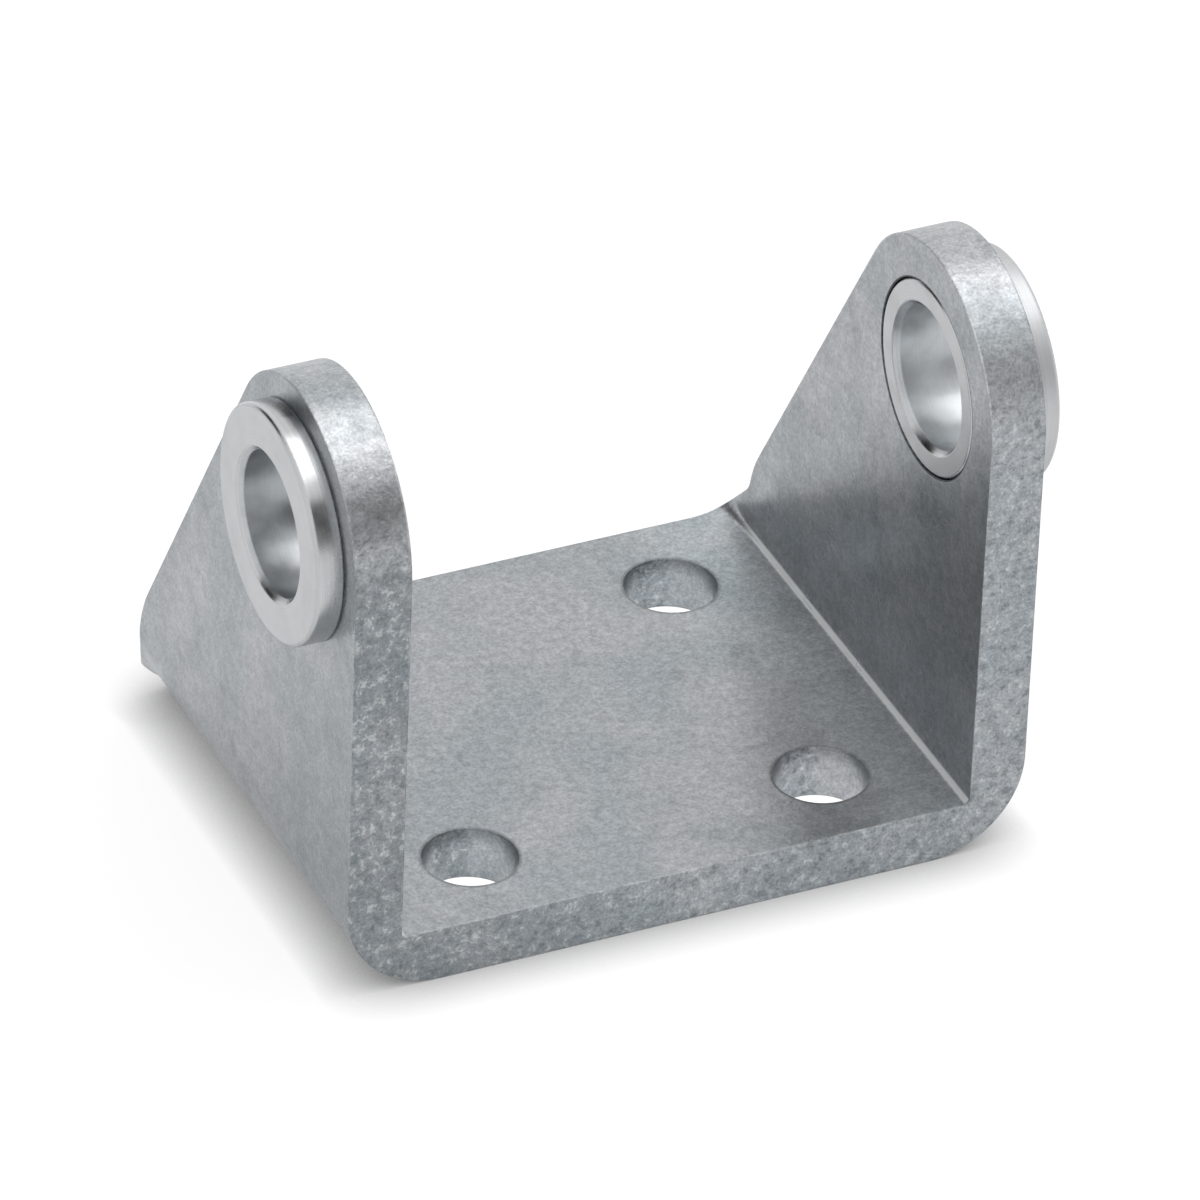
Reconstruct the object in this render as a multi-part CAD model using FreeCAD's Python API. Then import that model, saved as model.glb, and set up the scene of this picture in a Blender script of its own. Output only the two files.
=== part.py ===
import FreeCAD, Part
import math
import os

from FreeCAD import Vector

# Intermediate trunnion mount, in millimetres.
# A thick plate is folded up at both sides, and a flanged bush is pressed into each ear from outside.
# X runs across the ears, Y from the upright front edges to the back, Z up.
# The origin is the centre of the four base holes, on the underside.

# Plate
plate_thickness = 4.0
inside_gap = 42.0

# Folds: the plate thins where it is pressed to a sharp inside corner.
# At the free back end that corner opens, and the outside of the fold is fuller
fold_inside_radius = 0.4
fold_inside_back_radius = 1.3
fold_inside_back_run = 5.0
fold_outside_radius = 7.2
fold_front_radius = 7.0
fold_back_radius = 5.8
fold_front_run = 5.0
fold_back_run = 2.6

# Ears
pivot_height = 32.4
ear_top_radius = 10.0
nose_radius = 10.0
nose_height = 5.6
nose_setback = 2.4

# Heel: the outline between an ear's nose and the back edge of the base
heel_inside_radius = 2.0
heel_inside_angle = 45.0
heel_outside_radius = 5.0
heel_outside_angle = 23.0
heel_outside_foot = 1.2
heel_outside_setback = 0.45
heel_bulge = 0.8
heel_sweep_run = 3.4

# Base holes, for M6 screws
base_hole_diameter = 6.6
base_hole_pitch_across = 26.0
base_hole_pitch_deep = 24.5
base_hole_front_margin = 6.85
base_hole_back_margin = 7.15

# Bushes
bore_diameter = 10.0
bush_diameter = 14.0
flange_diameter = 16.5
flange_thickness = 2.0
bore_chamfer = 0.4
barrel_chamfer = 0.25
flange_round = 0.3
flange_back_chamfer = 0.15

# How far the cutting shapes run past the plate
cut_clearance = 1.0

# Derived places
front_y = -(base_hole_front_margin + base_hole_pitch_deep / 2)
back_y = base_hole_back_margin + base_hole_pitch_deep / 2
nose_y = back_y - nose_setback
pivot_y = front_y + ear_top_radius
inner_x = inside_gap / 2
outer_x = inner_x + plate_thickness
fold_x = inner_x - fold_inside_back_radius
heel_y = back_y + heel_bulge
heel_foot_y = back_y - heel_outside_setback
sweep_x = inner_x - heel_sweep_run
sweep_radius = (heel_sweep_run ** 2 + heel_bulge ** 2) / (2 * heel_bulge)
ear_top = pivot_height + ear_top_radius


def line(a, b):
    return Part.LineSegment(a, b).toShape()


def arc(a, middle, b):
    return Part.Arc(a, middle, b).toShape()


def polar(centre, radius, degrees):
    # A point of a circle in the YZ plane, with the angle counted from +Y towards +Z
    angle = math.radians(degrees)
    return (centre[0] + radius * math.cos(angle), centre[1] + radius * math.sin(angle))


def sweep_edge(x):
    # How far the upper face of the base reaches back where its edge sweeps out to the heel
    return back_y + sweep_radius - math.sqrt(sweep_radius ** 2 - (x - sweep_x) ** 2)


def slope_angle(top, nose):
    # Where the sloped edge touches both rounds, counted from +Y
    offset = (nose[0] - top[0], nose[1] - top[1])
    turn = math.acos((ear_top_radius - nose_radius) / math.hypot(*offset))
    return math.degrees(math.atan2(offset[1], offset[0]) + turn)


def heel_fillet(nose, foot, angle, radius):
    # The concave arc that touches the nose outside and runs into the line through the foot
    lean = math.radians(angle)
    along = (-math.sin(lean), math.cos(lean))
    normal = (math.cos(lean), math.sin(lean))
    start = (foot[0] + radius * normal[0], foot[1] + radius * normal[1])
    offset = (start[0] - nose[0], start[1] - nose[1])
    half = offset[0] * along[0] + offset[1] * along[1]
    rest = offset[0] ** 2 + offset[1] ** 2 - (nose_radius + radius) ** 2
    travel = -half - math.sqrt(half ** 2 - rest)
    return (start[0] + travel * along[0], start[1] + travel * along[1]), normal


def ear_outline(x, foot, underside_y, angle, radius):
    # Side view of an ear at one place across it, down to the underside of the base
    pivot = (pivot_y, pivot_height)
    nose = (nose_y - nose_radius, nose_height)
    slope = slope_angle(pivot, nose)
    centre, normal = heel_fillet(nose, foot, angle, radius)
    turn = math.degrees(math.atan2(centre[1] - nose[1], centre[0] - nose[0]))
    leave = math.degrees(math.atan2(-normal[1], -normal[0])) % 360
    places = {
        "front_foot": (front_y, 0),
        "front_top": polar(pivot, ear_top_radius, 180),
        "crown": polar(pivot, ear_top_radius, (180 + slope) / 2),
        "slope_top": polar(pivot, ear_top_radius, slope),
        "slope_foot": polar(nose, nose_radius, slope),
        "nose": polar(nose, nose_radius, (slope + turn) / 2),
        "nose_foot": polar(nose, nose_radius, turn),
        "heel": polar(centre, radius, (180 + turn + leave) / 2),
        "heel_foot": polar(centre, radius, leave),
        "foot": foot,
        "back_foot": (underside_y, 0),
    }
    p = {name: Vector(x, y, z) for name, (y, z) in places.items()}
    return Part.Wire([
        line(p["front_foot"], p["front_top"]),
        arc(p["front_top"], p["crown"], p["slope_top"]),
        line(p["slope_top"], p["slope_foot"]),
        arc(p["slope_foot"], p["nose"], p["nose_foot"]),
        arc(p["nose_foot"], p["heel"], p["heel_foot"]),
        line(p["heel_foot"], p["foot"]),
        line(p["foot"], p["back_foot"]),
        line(p["back_foot"], p["front_foot"]),
    ])


def ear():
    # The heel bulges most at the inside face and is drawn in and down at the outside, as folding leaves it
    def inside(x):
        foot = (sweep_edge(x), plate_thickness)
        return ear_outline(x, foot, back_y, heel_inside_angle, heel_inside_radius)

    foot = (heel_foot_y, heel_outside_foot)
    outside = ear_outline(outer_x, foot, heel_foot_y, heel_outside_angle, heel_outside_radius)
    return Part.makeLoft([inside(fold_x), inside(inner_x), outside], True, True)


def base_outline(z, swept):
    # Plan view of the base at one of its faces
    middle_x = (sweep_x + fold_x) / 2
    end_y = sweep_edge(fold_x) if swept else back_y
    middle_y = sweep_edge(middle_x)
    corners = [
        Vector(-fold_x, front_y, z),
        Vector(fold_x, front_y, z),
        Vector(fold_x, end_y, z),
        Vector(sweep_x, back_y, z),
        Vector(-sweep_x, back_y, z),
        Vector(-fold_x, end_y, z),
    ]
    edges = [line(a, b) for a, b in zip(corners, corners[1:] + corners[:1])]
    if swept:
        edges[2] = arc(corners[2], Vector(middle_x, middle_y, z), corners[3])
        edges[4] = arc(corners[4], Vector(-middle_x, middle_y, z), corners[5])
    return Part.Wire(edges)


def base():
    # The back edge is straight below, and above it sweeps out to each heel
    return Part.makeLoft([base_outline(0, False), base_outline(plate_thickness, True)], True, True)


def channel():
    # The plate's section across the folds, with their sharp inside corners, as long as the mount is deep
    top = ear_top + cut_clearance
    turn = fold_inside_radius * (1 - math.sqrt(0.5))
    turn_x = inner_x - fold_inside_radius
    fold_z = plate_thickness + fold_inside_radius
    p = {name: Vector(x, front_y, z) for name, (x, z) in {
        "low_left": (-outer_x, 0),
        "low_right": (outer_x, 0),
        "top_right": (outer_x, top),
        "right_lip": (inner_x, top),
        "right_fold": (inner_x, fold_z),
        "right_turn": (inner_x - turn, plate_thickness + turn),
        "right_floor": (turn_x, plate_thickness),
        "left_floor": (-turn_x, plate_thickness),
        "left_turn": (-inner_x + turn, plate_thickness + turn),
        "left_fold": (-inner_x, fold_z),
        "left_lip": (-inner_x, top),
        "top_left": (-outer_x, top),
    }.items()}
    section = Part.Wire([
        line(p["low_left"], p["low_right"]),
        line(p["low_right"], p["top_right"]),
        line(p["top_right"], p["right_lip"]),
        line(p["right_lip"], p["right_fold"]),
        arc(p["right_fold"], p["right_turn"], p["right_floor"]),
        line(p["right_floor"], p["left_floor"]),
        arc(p["left_floor"], p["left_turn"], p["left_fold"]),
        line(p["left_fold"], p["left_lip"]),
        line(p["left_lip"], p["top_left"]),
        line(p["top_left"], p["low_left"]),
    ])
    return Part.Face(section).extrude(Vector(0, heel_y + cut_clearance - front_y, 0))


def corner_section(x, z, y, radius):
    # What lies between a round of this radius and the square corner of the plate that it belongs to
    middle = radius * (1 - math.sqrt(0.5))
    low = z - cut_clearance
    far = x + cut_clearance
    points = [
        Vector(x - radius, y, z),
        Vector(x, y, z + radius),
        Vector(far, y, z + radius),
        Vector(far, y, low),
        Vector(x - radius, y, low),
    ]
    return Part.Wire([
        arc(points[0], Vector(x - middle, y, z + middle), points[1]),
        line(points[1], points[2]),
        line(points[2], points[3]),
        line(points[3], points[4]),
        line(points[4], points[0]),
    ])


def corner_run(x, z, start_y, end_y, radius):
    return Part.Face(corner_section(x, z, start_y, radius)).extrude(Vector(0, end_y - start_y, 0))


def corner_taper(x, z, even_y, free_y, even_radius, free_radius):
    # A stretch that leaves the even radius gently and changes fastest at the free end of the fold
    steps = 6
    sections = []
    for step in range(steps + 1):
        share = step / steps
        ease = 1 - math.cos(math.radians(90 * share))
        radius = even_radius + (free_radius - even_radius) * ease
        sections.append(corner_section(x, z, even_y + (free_y - even_y) * share, radius))
    return Part.makeLoft(sections, True, False)


def fold_filling():
    # The plate that stays in the inside corner of the fold where it opens at the back
    open_start = heel_y - fold_inside_back_run
    past_back = heel_y + cut_clearance
    corner = (inner_x, plate_thickness)
    opening = corner_taper(*corner, open_start, heel_y, fold_inside_radius, fold_inside_back_radius)
    return opening.fuse(corner_run(*corner, heel_y, past_back, fold_inside_back_radius))


def fold_relief():
    # The waste outside the fold: an even radius with fuller plate towards both ends
    even_start = front_y + fold_front_run
    even_end = heel_foot_y - fold_back_run
    past_back = heel_y + cut_clearance
    corner = (outer_x, 0)
    return corner_run(*corner, even_start, even_end, fold_outside_radius).fuse([
        corner_run(*corner, front_y - cut_clearance, front_y, fold_front_radius),
        corner_taper(*corner, even_start, front_y, fold_outside_radius, fold_front_radius),
        corner_taper(*corner, even_end, heel_foot_y, fold_outside_radius, fold_back_radius),
        corner_run(*corner, heel_foot_y, past_back, fold_back_radius),
    ])


def base_holes():
    # Four plain screw holes through the base
    depth = Vector(0, 0, plate_thickness)
    holes = []
    for x in (-base_hole_pitch_across / 2, base_hole_pitch_across / 2):
        for y in (-base_hole_pitch_deep / 2, base_hole_pitch_deep / 2):
            holes.append(Part.makeCylinder(base_hole_diameter / 2, plate_thickness, Vector(x, y, 0), depth))
    return holes


def bush_seats():
    # One hole through each ear, the size of the bush barrel
    seats = []
    for x in (-outer_x, inner_x):
        start = Vector(x, pivot_y, pivot_height)
        seats.append(Part.makeCylinder(bush_diameter / 2, plate_thickness, start, Vector(1, 0, 0)))
    return seats


def bracket():
    # Base and ears are cut to their outlines, then take the folded section of the plate
    mirror_plane = Vector(1, 0, 0)
    right = ear()
    blank = base().fuse([right, right.mirror(Vector(0, 0, 0), mirror_plane)]).removeSplitter()
    filling = fold_filling()
    section = channel().fuse([filling, filling.mirror(Vector(0, 0, 0), mirror_plane)])
    folded = blank.common(section).removeSplitter()
    relief = fold_relief()
    folded = folded.cut([relief, relief.mirror(Vector(0, 0, 0), mirror_plane)])
    return folded.cut(base_holes() + bush_seats())


def bush():
    # Turned about the pivot axis: barrel in the ear, flange with a rounded rim against its outside face
    bore = bore_diameter / 2
    barrel = bush_diameter / 2
    rim = flange_diameter / 2
    face = outer_x + flange_thickness
    turn = flange_round * (1 - math.sqrt(0.5))
    places = {
        "inner_mouth": (inner_x, bore + bore_chamfer),
        "barrel_lip": (inner_x, barrel - barrel_chamfer),
        "barrel_end": (inner_x + barrel_chamfer, barrel),
        "barrel_root": (outer_x, barrel),
        "flange_back": (outer_x, rim - flange_back_chamfer),
        "rim_back": (outer_x + flange_back_chamfer, rim),
        "rim_front": (face - flange_round, rim),
        "rim_turn": (face - turn, rim - turn),
        "flange_face": (face, rim - flange_round),
        "outer_mouth": (face, bore + bore_chamfer),
        "bore_outer": (face - bore_chamfer, bore),
        "bore_inner": (inner_x + bore_chamfer, bore),
    }
    p = {name: Vector(x, pivot_y, pivot_height + radius) for name, (x, radius) in places.items()}
    straight = [name for name in places if name != "rim_turn"]
    edges = [line(p[a], p[b]) for a, b in zip(straight, straight[1:] + straight[:1])]
    edges[straight.index("rim_front")] = arc(p["rim_front"], p["rim_turn"], p["flange_face"])
    profile = Part.Face(Part.Wire(edges))
    return profile.revolve(Vector(0, pivot_y, pivot_height), Vector(1, 0, 0), 360)


def main():
    os.makedirs("parts", exist_ok=True)
    right = bush()
    pieces = {
        "bracket": bracket(),
        "right_bush": right,
        "left_bush": right.mirror(Vector(0, 0, 0), Vector(1, 0, 0)),
    }
    for name, shape in pieces.items():
        print(name, shape.isValid(), round(shape.Volume, 1))
        shape.exportStep(f"parts/{name}.step")


main()
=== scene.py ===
import bpy
from mathutils import Matrix, Vector

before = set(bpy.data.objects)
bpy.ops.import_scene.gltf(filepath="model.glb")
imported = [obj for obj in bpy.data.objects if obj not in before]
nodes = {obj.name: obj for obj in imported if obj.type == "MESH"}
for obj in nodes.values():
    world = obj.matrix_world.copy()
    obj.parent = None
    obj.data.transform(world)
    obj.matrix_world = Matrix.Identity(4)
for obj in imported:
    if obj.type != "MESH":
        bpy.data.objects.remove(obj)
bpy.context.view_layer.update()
scene = bpy.context.scene
print("stage 1: frame loaded")


# small helpers for node trees

def newMaterial(name):
    material = bpy.data.materials.new(name)
    material.use_nodes = True
    tree = material.node_tree
    tree.nodes.clear()
    shader = tree.nodes.new("ShaderNodeBsdfPrincipled")
    output = tree.nodes.new("ShaderNodeOutputMaterial")
    tree.links.new(shader.outputs["BSDF"], output.inputs["Surface"])
    return material, tree, shader


def place(tree, kind, **sockets):
    node = tree.nodes.new(kind)
    for name, value in sockets.items():
        node.inputs[name.replace("_", " ")].default_value = value
    return node


def mathNode(tree, operation, first, second=None, clamp=False):
    node = tree.nodes.new("ShaderNodeMath")
    node.operation = operation
    node.use_clamp = clamp
    for socket, value in zip(node.inputs, (first, second)):
        if value is None:
            continue
        if isinstance(value, (int, float)):
            socket.default_value = value
        else:
            tree.links.new(value, socket)
    return node.outputs[0]


def product(tree, first, *others):
    for other in others:
        first = mathNode(tree, "MULTIPLY", first, other)
    return first


def absolute(tree, value):
    return mathNode(tree, "ABSOLUTE", value)


def distance(tree, first, second):
    # how far a point is from a line, given how far it is along two axes
    squares = mathNode(tree, "ADD", product(tree, first, first), product(tree, second, second))
    return mathNode(tree, "SQRT", squares)


def split(tree, vector):
    node = tree.nodes.new("ShaderNodeSeparateXYZ")
    tree.links.new(vector, node.inputs[0])
    return node.outputs


def noise(tree, vector, scale, detail, roughness, distortion=0.0):
    node = place(tree, "ShaderNodeTexNoise", Scale=scale, Detail=detail, Roughness=roughness)
    node.inputs["Distortion"].default_value = distortion
    tree.links.new(vector, node.inputs["Vector"])
    return node.outputs["Fac"]


def ramp(tree, value, low, high, fromValue=0.0, toValue=1.0, smooth=True):
    node = place(
        tree, "ShaderNodeMapRange",
        From_Min=low, From_Max=high, To_Min=fromValue, To_Max=toValue,
    )
    node.interpolation_type = "SMOOTHSTEP" if smooth else "LINEAR"
    tree.links.new(value, node.inputs["Value"])
    return node.outputs["Result"]


def mixColour(tree, factor, first, second, mode="MIX"):
    node = tree.nodes.new("ShaderNodeMix")
    node.data_type = "RGBA"
    node.blend_type = mode
    for name, value in (("Factor", factor), ("A", first), ("B", second)):
        socket = next(s for s in node.inputs if s.name == name and s.enabled)
        if isinstance(value, (int, float)):
            socket.default_value = value
        elif isinstance(value, tuple):
            socket.default_value = (*value, 1.0)
        else:
            tree.links.new(value, socket)
    return next(s for s in node.outputs if s.enabled)


def shade(tree, mask, colour, by):
    # the colour, multiplied where the mask is 1
    return mixColour(tree, mask, colour, by, "MULTIPLY")


def spread(tree, value, amount):
    # a noise turned into a factor round 1
    return ramp(tree, value, 0.3, 0.7, 1.0 - amount, 1.0 + amount)


# the effects that both finishes share

def newGroup(name, inputs, outputs):
    group = bpy.data.node_groups.new(name, "ShaderNodeTree")
    for label, kind, value in inputs:
        socket = group.interface.new_socket(label, in_out="INPUT", socket_type="NodeSocket" + kind)
        if value is not None:
            socket.default_value = value
    for label, kind in outputs:
        group.interface.new_socket(label, in_out="OUTPUT", socket_type="NodeSocket" + kind)
    given = group.nodes.new("NodeGroupInput").outputs
    result = group.nodes.new("NodeGroupOutput").inputs
    return group, given, result


def edgeWearGroup():
    # 1 where an edge is near, broken up by a noise so that the wear comes and goes
    group, given, result = newGroup(
        "edgeWear",
        [("Vector", "Vector", None), ("Radius", "Float", 0.0002), ("Breakup", "Float", 900.0)],
        [("Mask", "Float"), ("Near", "Float"), ("Normal", "Vector")],
    )
    rounded = group.nodes.new("ShaderNodeBevel")
    rounded.samples = 3
    group.links.new(given["Radius"], rounded.inputs["Radius"])
    flat = group.nodes.new("ShaderNodeNewGeometry")
    along = group.nodes.new("ShaderNodeVectorMath")
    along.operation = "DOT_PRODUCT"
    group.links.new(rounded.outputs["Normal"], along.inputs[0])
    group.links.new(flat.outputs["True Normal"], along.inputs[1])
    near = ramp(group, along.outputs["Value"], 0.995, 0.9)
    patches = noise(group, given["Vector"], 900.0, 3.0, 0.6)
    group.links.new(given["Breakup"], patches.node.inputs["Scale"])
    broken = ramp(group, patches, 0.38, 0.62)
    group.links.new(product(group, near, broken), result["Mask"])
    group.links.new(near, result["Near"])
    group.links.new(rounded.outputs["Normal"], result["Normal"])
    return group


def pivotDistanceGroup():
    # how far a point is from the pivot axis, in metres
    group, given, result = newGroup(
        "pivotDistance",
        [("Vector", "Vector", None), ("Deep", "Float", -0.0091), ("High", "Float", 0.0324)],
        [("Radius", "Float")],
    )
    parts = split(group, given["Vector"])
    deep = mathNode(group, "SUBTRACT", parts["Y"], given["Deep"])
    high = mathNode(group, "SUBTRACT", parts["Z"], given["High"])
    group.links.new(distance(group, deep, high), result["Radius"])
    return group


edgeWear = edgeWearGroup()
pivotDistance = pivotDistanceGroup()


def addGroup(tree, group, vector, **sockets):
    node = tree.nodes.new("ShaderNodeGroup")
    node.node_tree = group
    for name, value in sockets.items():
        node.inputs[name].default_value = value
    tree.links.new(vector, node.inputs["Vector"])
    return node.outputs


# folded plate: tumbled zinc-grey steel with cloudy patches and fine grain, rough where it was cut

plateLook = {
    "cool": (0.345, 0.370, 0.390),     # the even zinc grey
    "warm": (0.400, 0.411, 0.430),     # paler clouds in it
    "dark": (0.215, 0.245, 0.260),     # stains
    "cutPaintedShade": (0.93, 0.95, 0.96),    # painted shade: the upright sheared faces are made this much darker
    "leftPaintedShade": 0.80,                 # and those of the left ear more so: painted shade on one side
    "crownPaintedLight": (1.16, 1.15, 1.14),  # painted light: the rounded tops, where they face up, are made brighter
    "stripPaintedLight": (1.14, 1.16, 1.16),    # painted light: the base is made paler along its right fold
    "cutPit": (0.16, 0.18, 0.19),      # dark pits in the sheared faces
    "bright": (0.62, 0.64, 0.65),      # bare metal on the edges
    "glint": (0.95, 0.95, 0.95),       # painted highlight on the shoulders' inner edge
    "pressed": (0.78, 0.80, 0.81),     # painted highlight along the inside of the folds
    "seam": (0.05, 0.055, 0.06),       # dark line round each bush
    "stain": 0.40,                     # how fully stains, flecks, pits and wear cover
    "fleck": 0.50,
    "pit": 0.60,
    "wear": 0.75,
    "crownCalm": 0.60,                 # the rounded tops have this much less of flecks and pits
    "grainSpread": 0.16,               # how far the fine noises lighten and darken
    "mottleSpread": 0.10,
    "cloudSize": 95.0,                 # noise scales, per metre
    "blotchSize": 240.0,
    "mottleSize": 1500.0,
    "grainSize": 4600.0,
    "nickSize": 1700.0,
    "wearSize": 700.0,
    "metal": 0.86,                     # the zinc skin scatters a little of the light
    # the painted highlight in the folds is less metallic
    "pressedMetal": 0.35,
    "roughness": 0.31,
    "cutRoughness": 0.35,
    "glossSpread": 0.05,               # the blotches change the roughness this much
    "stripDull": 0.20,                   # the strip with painted light is also rougher
    "grainDepth": 0.000012,            # heights of the bumps, and widths of edges and lines, in metres
    "nickDepth": 0.00006,
    "edgeRadius": 0.00022,
    "seamRadius": 0.00704,
    "seamWidth": 0.00007,
    "holePlace": (0.0130, 0.01225),    # the screw holes, to both sides of the middle
    "holeRadius": 0.0033,
    "holeDark": (0.0026, 0.0039),      # painted shade: a hole's wall darkens between these heights
    "holeShade": (0.94, 0.70),         # from the first shade to the second
    "foldCorner": (0.0210, 0.0040),    # the inside corners, across and above the base
    "foldReach": 0.00042,
    "foldFade": (0.0185, 0.0145),      # towards the back the corners' painted highlight fades
    "frontFace": -0.0191,
    "innerFace": (0.0219, 0.0215),     # inwards of here an edge is on the inside of an ear
    "shoulder": (0.0345, 0.0360, 0.0400, 0.0415),  # the glint comes and goes between these heights
    "baseTop": (0.0050, 0.0044),       # below here a face that lies flat is the top of the base
    "lowCut": (0.0062, 0.0052),        # and below here none that lies flat is a sheared one
    "paintedLightStripSpan": (0.0105, 0.0175),      # where the strip with painted light begins and where it is full
    "leftSide": (-0.020, 0.0),         # the painted shade on the left ear's cut faces ends between these places
}


def cutFaceMask(tree, look, where, facing):
    # 1 on the sheared faces: they don't look along X, and aren't the top or bottom of the base
    sideways = ramp(tree, absolute(tree, facing["X"]), 0.5, 0.3)
    lying = ramp(tree, absolute(tree, facing["Z"]), 0.7, 0.9)
    low = ramp(tree, where["Z"], *look["lowCut"])
    return product(tree, sideways, mathNode(tree, "SUBTRACT", 1.0, product(tree, lying, low)))


def pressedFoldMask(tree, look, where):
    # 1 along the inside corners of both folds, where a highlight is painted: not on the front faces,
    # and less towards the back
    wide = mathNode(tree, "SUBTRACT", absolute(tree, where["X"]), look["foldCorner"][0])
    high = mathNode(tree, "SUBTRACT", where["Z"], look["foldCorner"][1])
    near = ramp(tree, distance(tree, wide, high), look["foldReach"], look["foldReach"] * 0.45)
    behind = ramp(tree, where["Y"], look["frontFace"] + 0.00005, look["frontFace"] + 0.0003)
    return product(tree, near, behind, ramp(tree, where["Y"], *look["foldFade"], 0.10, 1.0))


def paintedLightStripMask(tree, look, where, facing):
    # where light is painted: 1 on the top of the base, beside its right fold
    lying = product(tree, ramp(tree, facing["Z"], 0.90, 0.98), ramp(tree, where["Z"], *look["baseTop"]))
    return product(tree, lying, ramp(tree, where["X"], *look["paintedLightStripSpan"]))


def glintMask(tree, look, where, nearEdge):
    # 1 on the inside edge of each ear's shoulder, where a highlight is painted
    inner = ramp(tree, absolute(tree, where["X"]), *look["innerFace"])
    foot, full, fading, top = look["shoulder"]
    between = product(tree, ramp(tree, where["Z"], foot, full), ramp(tree, where["Z"], top, fading))
    return product(tree, product(tree, inner, between), nearEdge)


def holeDistance(tree, where, centre):
    # how far a point is from the axis of the nearest screw hole
    wide = mathNode(tree, "SUBTRACT", absolute(tree, where["X"]), centre[0])
    deep = mathNode(tree, "SUBTRACT", absolute(tree, where["Y"]), centre[1])
    return distance(tree, wide, deep)


def plateMaterial(look):
    material, tree, shader = newMaterial("plateSteel")
    coordinates = tree.nodes.new("ShaderNodeTexCoord").outputs
    here = coordinates["Object"]
    where, facing = split(tree, here), split(tree, coordinates["Normal"])
    clouds = noise(tree, here, look["cloudSize"], 3.0, 0.5, 0.4)
    blotches = noise(tree, here, look["blotchSize"], 3.0, 0.6, 0.2)
    mottle = noise(tree, here, look["mottleSize"], 2.0, 0.6)
    grain = noise(tree, here, look["grainSize"], 2.0, 0.7)
    nicks = noise(tree, here, look["nickSize"], 3.0, 0.7)
    worn = addGroup(tree, edgeWear, here, Radius=look["edgeRadius"], Breakup=look["wearSize"])
    fromPivot = addGroup(tree, pivotDistance, here)["Radius"]
    fromHole = holeDistance(tree, where, look["holePlace"])
    edge = look["holeRadius"]

    # where the parts of the finish are
    cut = cutFaceMask(tree, look, where, facing)
    upright = product(tree, cut, ramp(tree, facing["Z"], 0.35, 0.05))
    crown = product(tree, cut, ramp(tree, facing["Z"], 0.10, 0.60))
    torn = mathNode(tree, "SUBTRACT", cut, product(tree, crown, look["crownCalm"]))
    offHoles = ramp(tree, fromHole, edge + 0.0002, edge + 0.0006, 0.0, look["wear"])
    inHole = ramp(tree, fromHole, edge + 0.0003, edge + 0.0001)
    paintedLightStrip = paintedLightStripMask(tree, look, where, facing)
    pressed = pressedFoldMask(tree, look, where)
    glint = glintMask(tree, look, where, worn["Near"])
    offSeam = absolute(tree, mathNode(tree, "SUBTRACT", fromPivot, look["seamRadius"]))
    seam = ramp(tree, offSeam, look["seamWidth"], look["seamWidth"] * 0.4)

    colour = mixColour(tree, ramp(tree, clouds, 0.40, 0.60), look["cool"], look["warm"])
    colour = mixColour(tree, ramp(tree, blotches, 0.50, 0.80, 0.0, look["stain"]), colour, look["dark"])
    # painted shade on the upright sheared faces
    sheared = shade(tree, 1.0, colour, look["cutPaintedShade"])
    # more painted shade on the sheared faces of the left ear
    leftSide = ramp(tree, where["X"], *look["leftSide"], look["leftPaintedShade"], 1.0)
    sheared = shade(tree, 1.0, sheared, leftSide)
    colour = mixColour(tree, upright, colour, sheared)
    # painted light on the rounded tops
    colour = shade(tree, crown, colour, look["crownPaintedLight"])
    flecks = product(tree, ramp(tree, nicks, 0.54, 0.66, 0.0, look["fleck"]), torn)
    colour = mixColour(tree, flecks, colour, look["bright"])
    pits = product(tree, ramp(tree, nicks, 0.47, 0.35, 0.0, look["pit"]), torn)
    colour = mixColour(tree, pits, colour, look["cutPit"])
    colour = mixColour(tree, product(tree, worn["Mask"], offHoles), colour, look["bright"])
    # painted highlight on the shoulders' inner edges
    colour = mixColour(tree, glint, colour, look["glint"])
    colour = shade(tree, 1.0, colour, spread(tree, grain, look["grainSpread"]))
    colour = shade(tree, 1.0, colour, spread(tree, mottle, look["mottleSpread"]))
    # painted light: the base paler beside its right fold
    colour = shade(tree, paintedLightStrip, colour, look["stripPaintedLight"])
    # painted shade in the screw holes, darker towards their top edge
    colour = shade(tree, inHole, colour, ramp(tree, where["Z"], *look["holeDark"], *look["holeShade"]))
    # painted highlight along the inside of the folds
    colour = mixColour(tree, pressed, colour, look["pressed"])
    colour = mixColour(tree, seam, colour, look["seam"])
    tree.links.new(colour, shader.inputs["Base Color"])

    metal = ramp(tree, pressed, 0.0, 1.0, look["metal"], look["pressedMetal"], False)
    tree.links.new(metal, shader.inputs["Metallic"])
    smooth, dull = look["roughness"] - look["glossSpread"], look["roughness"] + look["glossSpread"]
    rough = ramp(tree, blotches, 0.3, 0.7, smooth, dull)
    rough = mathNode(tree, "ADD", rough, product(tree, cut, look["cutRoughness"] - look["roughness"]))
    rough = mathNode(tree, "ADD", rough, product(tree, paintedLightStrip, look["stripDull"]))
    tree.links.new(rough, shader.inputs["Roughness"])

    fine = place(tree, "ShaderNodeBump", Strength=1.0, Distance=look["grainDepth"])
    tree.links.new(grain, fine.inputs["Height"])
    tree.links.new(worn["Normal"], fine.inputs["Normal"])
    coarse = place(tree, "ShaderNodeBump", Strength=1.0, Distance=look["nickDepth"])
    tree.links.new(product(tree, nicks, torn), coarse.inputs["Height"])
    tree.links.new(fine.outputs["Normal"], coarse.inputs["Normal"])
    tree.links.new(coarse.outputs["Normal"], shader.inputs["Normal"])
    return material


# bushes: turned steel, brighter than the plate, with fine rings round the pivot axis

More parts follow.
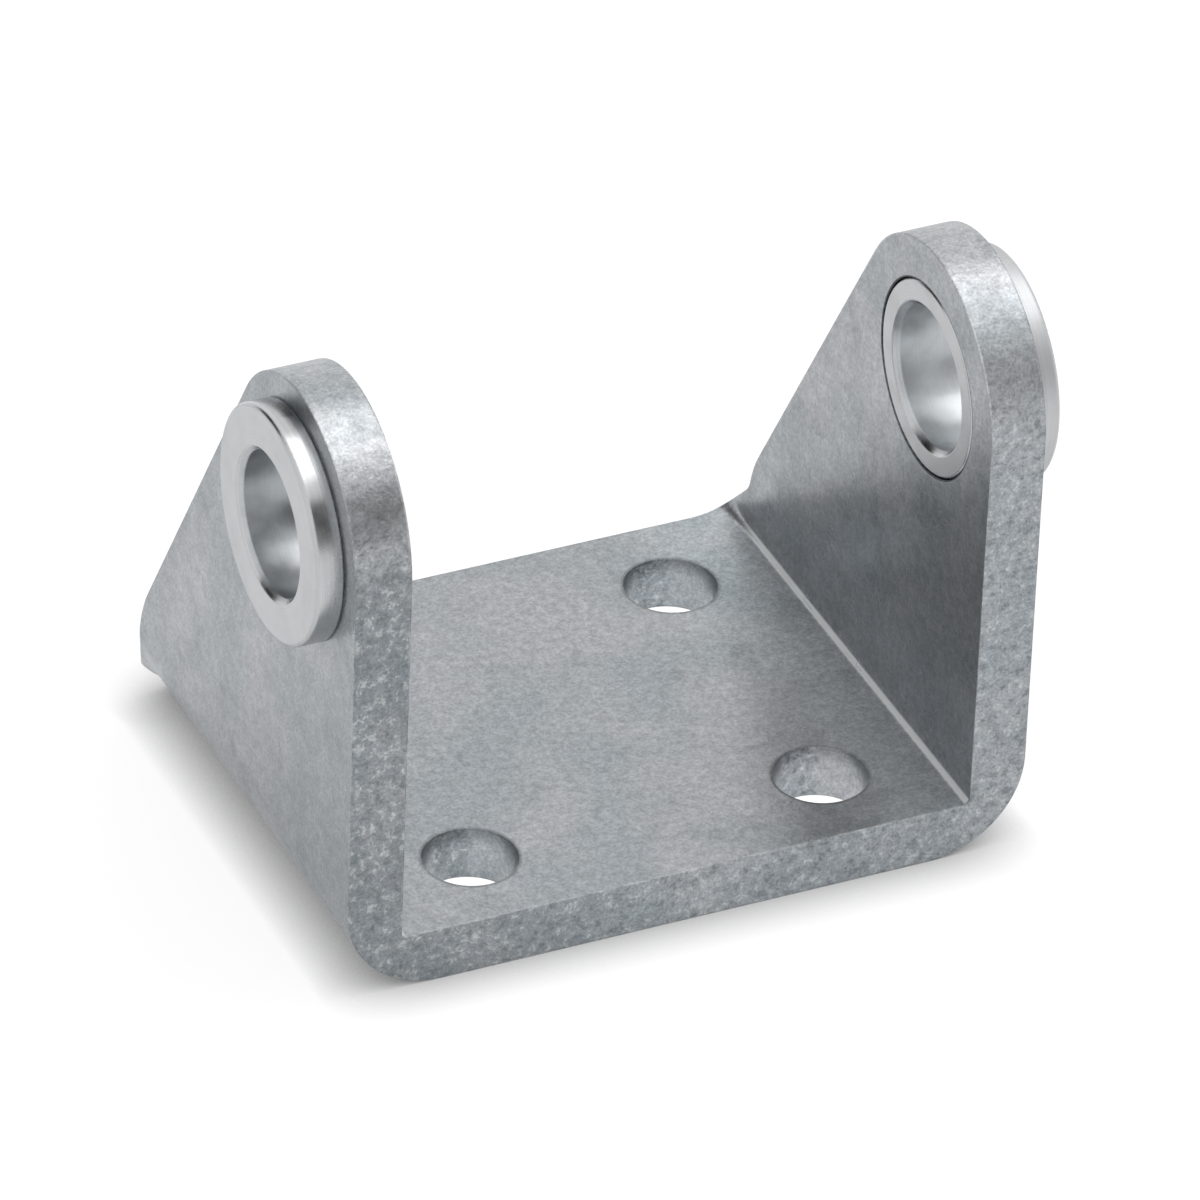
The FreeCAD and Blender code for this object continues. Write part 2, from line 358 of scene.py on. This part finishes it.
bushLook = {
    "colour": (0.56, 0.57, 0.58),
    "ringDark": (0.48, 0.49, 0.50),
    "bore": (1.01, 1.03, 1.04),
    "leftBoreShade": (0.92, 0.94, 0.95),        # painted shade: the left bore is a little darker
    "seam": (0.03, 0.033, 0.036),      # where the barrel meets the ear
    "ring": 0.60,                      # how fully the dark rings and the smudges cover
    "smudge": 0.25,
    "liningSpread": (0.88, 1.08),      # the smudges shade the bores this much
    "glossSpread": (-0.03, 0.06),      # and change the roughness this much
    "roughness": 0.23,
    "faceRoughness": 0.36,
    "boreRoughness": 0.31,
    "rimDull": 0.22,                   # the right flange's rim is duller
    "ringSize": 9000.0,
    "smudgeSize": 500.0,
    "wearSize": 1200.0,
    "ringDepth": 0.000004,
    "boreRadius": 0.0050,
    "barrelRadius": 0.0070,
    "rimRadius": 0.0079,               # outside this the bush is flange
    "edgeRadius": 0.00015,
    "seamWidth": 0.00012,
    "innerFace": (0.0220, 0.0216),     # the seam is inwards of here
    "boreShadeSide": (-0.010, 0.010),       # left of the first is the left bore, with its painted shade
    "rimSide": (0.0240, 0.0250),       # right of the second is the right flange
}


def bushMaterial(look):
    material, tree, shader = newMaterial("turnedSteel")
    coordinates = tree.nodes.new("ShaderNodeTexCoord").outputs
    here = coordinates["Object"]
    where, facing = split(tree, here), split(tree, coordinates["Normal"])
    worn = addGroup(tree, edgeWear, here, Radius=look["edgeRadius"], Breakup=look["wearSize"])
    fromPivot = addGroup(tree, pivotDistance, here)["Radius"]
    ringPlace = tree.nodes.new("ShaderNodeCombineXYZ")
    tree.links.new(fromPivot, ringPlace.inputs["X"])
    tree.links.new(where["X"], ringPlace.inputs["Y"])
    rings = noise(tree, ringPlace.outputs[0], look["ringSize"], 3.0, 0.7)
    smudge = noise(tree, here, look["smudgeSize"], 4.0, 0.55)
    inBore = ramp(tree, fromPivot, look["boreRadius"] + 0.0003, look["boreRadius"] + 0.0001)

    ringed = ramp(tree, rings, 0.35, 0.65, 0.0, look["ring"])
    smudged = ramp(tree, smudge, 0.5, 0.75, 0.0, look["smudge"])
    colour = mixColour(tree, ringed, look["colour"], look["ringDark"])
    colour = mixColour(tree, smudged, colour, look["ringDark"])
    # painted shade in the left bore
    lining = mixColour(tree, ramp(tree, where["X"], *look["boreShadeSide"]), look["leftBoreShade"], look["bore"])
    lining = shade(tree, 1.0, lining, ramp(tree, smudge, 0.35, 0.65, *look["liningSpread"]))
    colour = shade(tree, inBore, colour, lining)
    away = absolute(tree, mathNode(tree, "SUBTRACT", fromPivot, look["barrelRadius"] - 0.00005))
    inside = ramp(tree, absolute(tree, where["X"]), *look["innerFace"])
    seam = product(tree, ramp(tree, away, look["seamWidth"], 0.00005), inside)
    colour = mixColour(tree, seam, colour, look["seam"])
    tree.links.new(colour, shader.inputs["Base Color"])

    shader.inputs["Metallic"].default_value = 1.0
    rough = ramp(tree, absolute(tree, facing["X"]), 0.7, 0.9, look["roughness"], look["faceRoughness"])
    rough = mathNode(tree, "ADD", rough, ramp(tree, smudge, 0.35, 0.7, *look["glossSpread"]))
    boreDull = look["boreRoughness"] - look["roughness"]
    rough = mathNode(tree, "ADD", rough, product(tree, inBore, boreDull))
    dulled = ramp(tree, where["X"], *look["rimSide"], 0.0, look["rimDull"])
    onRim = ramp(tree, fromPivot, look["rimRadius"], look["rimRadius"] + 0.0002)
    rough = mathNode(tree, "ADD", rough, product(tree, dulled, onRim))
    tree.links.new(rough, shader.inputs["Roughness"])

    bump = place(tree, "ShaderNodeBump", Strength=1.0, Distance=look["ringDepth"])
    tree.links.new(rings, bump.inputs["Height"])
    tree.links.new(worn["Normal"], bump.inputs["Normal"])
    tree.links.new(bump.outputs["Normal"], shader.inputs["Normal"])
    return material


plateSteel = plateMaterial(plateLook)
turnedSteel = bushMaterial(bushLook)
finishes = {"bracket": plateSteel, "left_bush": turnedSteel, "right_bush": turnedSteel}
for name, material in finishes.items():
    for slot in nodes[name].material_slots:
        slot.material = material
print("stage 2: finishes on the plate and the bushes")


# rays that show the white surroundings: those of the camera, and of gloss and glass

def shownRays(tree):
    path = tree.nodes.new("ShaderNodeLightPath").outputs
    mirrored = mathNode(tree, "MAXIMUM", path["Is Glossy Ray"], path["Is Transmission Ray"])
    return mathNode(tree, "MAXIMUM", path["Is Camera Ray"], mirrored)


# floor: white where it shows, with the object's soft shadow close round it

floorLook = {
    "size": 3.0,
    "place": (0, 0, -0.00005),         # just under the part
    "colour": (0.8, 0.8, 0.8),
    "shown": (1.0, 1.0, 1.0),          # what gloss picks up
    "glossLift": 0.10,
    "seen": (0.26, 0.26, 0.26),        # what the camera sees takes this share from the lamps
    "lift": 0.82,                      # and the rest from here, so that only the near shadow shows
    "contactReach": 0.0042,            # the dark close to the object
    "contactDepth": 0.92,
    "contactSamples": 4,
    "glow": 0.70,                      # painted light: the floor glows under the screw holes, which look through to it
    "holePlace": plateLook["holePlace"],
    "holeRadius": plateLook["holeRadius"],
}

bpy.ops.object.select_all(action="DESELECT")
bpy.ops.mesh.primitive_plane_add(size=floorLook["size"], location=floorLook["place"])
floor = bpy.context.object
floor.name = "floor"


def floorMaterial(look):
    material, tree, shader = newMaterial("paleFloor")
    shader.inputs["Roughness"].default_value = 1.0
    shader.inputs["Specular IOR Level"].default_value = 0.0
    shader.inputs["Emission Color"].default_value = (1.0, 1.0, 1.0, 1.0)
    shownTo = shownRays(tree)
    seen = tree.nodes.new("ShaderNodeLightPath").outputs["Is Camera Ray"]
    where = split(tree, tree.nodes.new("ShaderNodeTexCoord").outputs["Object"])
    fromHole = holeDistance(tree, where, look["holePlace"])
    under = ramp(tree, fromHole, look["holeRadius"] + 0.0002, look["holeRadius"])

    contact = place(tree, "ShaderNodeAmbientOcclusion", Distance=look["contactReach"])
    contact.samples = look["contactSamples"]
    hidden = mathNode(tree, "SUBTRACT", 1.0, contact.outputs["AO"])
    clear = mathNode(tree, "SUBTRACT", 1.0, product(tree, hidden, look["contactDepth"]), clamp=True)
    near = shade(tree, 1.0, look["seen"], clear)
    pale = mixColour(tree, seen, look["shown"], near)
    tree.links.new(mixColour(tree, shownTo, look["colour"], pale), shader.inputs["Base Color"])
    lift = product(tree, seen, clear, look["lift"])
    mirrored = mathNode(tree, "SUBTRACT", shownTo, seen)
    lift = mathNode(tree, "ADD", lift, product(tree, mirrored, look["glossLift"]))
    # painted light: a glow under the screw holes
    glow = product(tree, shownTo, under, look["glow"])
    tree.links.new(mathNode(tree, "ADD", lift, glow), shader.inputs["Emission Strength"])
    return material


floor.data.materials.append(floorMaterial(floorLook))
print("stage 3: floor")


# lamps and world

lamps = {
    "overhead": {"place": (0.20, 0.02, 0.90), "size": 0.72, "power": 2.3},
}
lampTarget = Vector((0, 0, 0.02))

for name, lamp in lamps.items():
    bpy.ops.object.select_all(action="DESELECT")
    bpy.ops.object.light_add(type="AREA", location=lamp["place"])
    light = bpy.context.object
    light.name = name + "Lamp"
    light.data.size = lamp["size"]
    light.data.energy = lamp["power"]
    light.rotation_mode = "QUATERNION"
    light.rotation_quaternion = (lampTarget - light.location).to_track_quat("-Z", "Y")

worldLook = {
    "light": 0.68,                     # even light from all round
}
world = bpy.data.worlds.new("studio")
scene.world = world
world.use_nodes = True
sky = world.node_tree
sky.nodes.clear()
room = place(sky, "ShaderNodeBackground", Color=(1, 1, 1, 1), Strength=worldLook["light"])
white = place(sky, "ShaderNodeBackground", Color=(1, 1, 1, 1), Strength=1.0)
blend = sky.nodes.new("ShaderNodeMixShader")
out = sky.nodes.new("ShaderNodeOutputWorld")
sky.links.new(shownRays(sky), blend.inputs["Fac"])
sky.links.new(room.outputs[0], blend.inputs[1])
sky.links.new(white.outputs[0], blend.inputs[2])
sky.links.new(blend.outputs[0], out.inputs["Surface"])

# cards that only the gloss picks up, each shaded from white at its rim to its grey in the middle
cards = {
    "front": {
        "place": (0.17, -0.50, 0.23), "size": (0.84, 0.80),
        "grey": 0.36, "full": 0.20, "faded": 0.42,
    },
    "near": {
        "place": (0.042, -0.195, 0.125), "size": (0.17, 0.24),
        "grey": 0.10, "full": 0.25, "faded": 0.48,
    },
    "back": {
        "place": (-0.25, 0.40, 0.27), "size": (0.58, 0.62),
        "grey": 0.0, "full": 0.29, "faded": 0.45,
    },
}
cardTarget = Vector((0.0, -0.01, 0.03))


def cardMaterial(name, card):
    material, tree, shader = newMaterial(name + "Card")
    shader.inputs["Base Color"].default_value = (0.0, 0.0, 0.0, 1.0)
    shader.inputs["Specular IOR Level"].default_value = 0.0
    shader.inputs["Emission Color"].default_value = (1.0, 1.0, 1.0, 1.0)
    fromMiddle = tree.nodes.new("ShaderNodeVectorMath")
    fromMiddle.operation = "DISTANCE"
    tree.links.new(tree.nodes.new("ShaderNodeTexCoord").outputs["UV"], fromMiddle.inputs[0])
    fromMiddle.inputs[1].default_value = (0.5, 0.5, 0.0)
    strength = ramp(tree, fromMiddle.outputs["Value"], card["full"], card["faded"], card["grey"], 1.0)
    tree.links.new(strength, shader.inputs["Emission Strength"])
    return material


for name, card in cards.items():
    bpy.ops.object.select_all(action="DESELECT")
    bpy.ops.mesh.primitive_plane_add(size=1.0)
    sheet = bpy.context.object
    sheet.name = name + "Card"
    sheet.data.transform(Matrix.Diagonal((*card["size"], 1.0, 1.0)))
    sheet.rotation_mode = "QUATERNION"
    sheet.location = card["place"]
    sheet.rotation_quaternion = (cardTarget - sheet.location).to_track_quat("Z", "Y")
    sheet.visible_camera = False
    sheet.visible_diffuse = False
    sheet.visible_shadow = False
    sheet.data.materials.append(cardMaterial(name, card))
print("stage 4: lamps and world")


# camera, at the photograph's angle

cameraView = {
    "place": (-0.29151, -0.61258, 0.47783),
    "right": (0.91105, -0.41096, 0.03323),
    "up": (0.20722, 0.52608, 0.82480),
    "lens": 363.2,
    "sensor": 36.0,
    "clip": (0.01, 20.0),
}

bpy.ops.object.select_all(action="DESELECT")
bpy.ops.object.camera_add(location=cameraView["place"])
camera = bpy.context.object
camera.name = "photoCamera"
camera.data.lens = cameraView["lens"]
camera.data.sensor_width = cameraView["sensor"]
camera.data.clip_start, camera.data.clip_end = cameraView["clip"]
right = Vector(cameraView["right"]).normalized()
up = Vector(cameraView["up"]).normalized()
camera.rotation_mode = "QUATERNION"
camera.rotation_quaternion = Matrix((right, up, right.cross(up))).transposed().to_quaternion()
scene.camera = camera
scene.view_settings.view_transform = "Standard"
print("stage 5: camera")
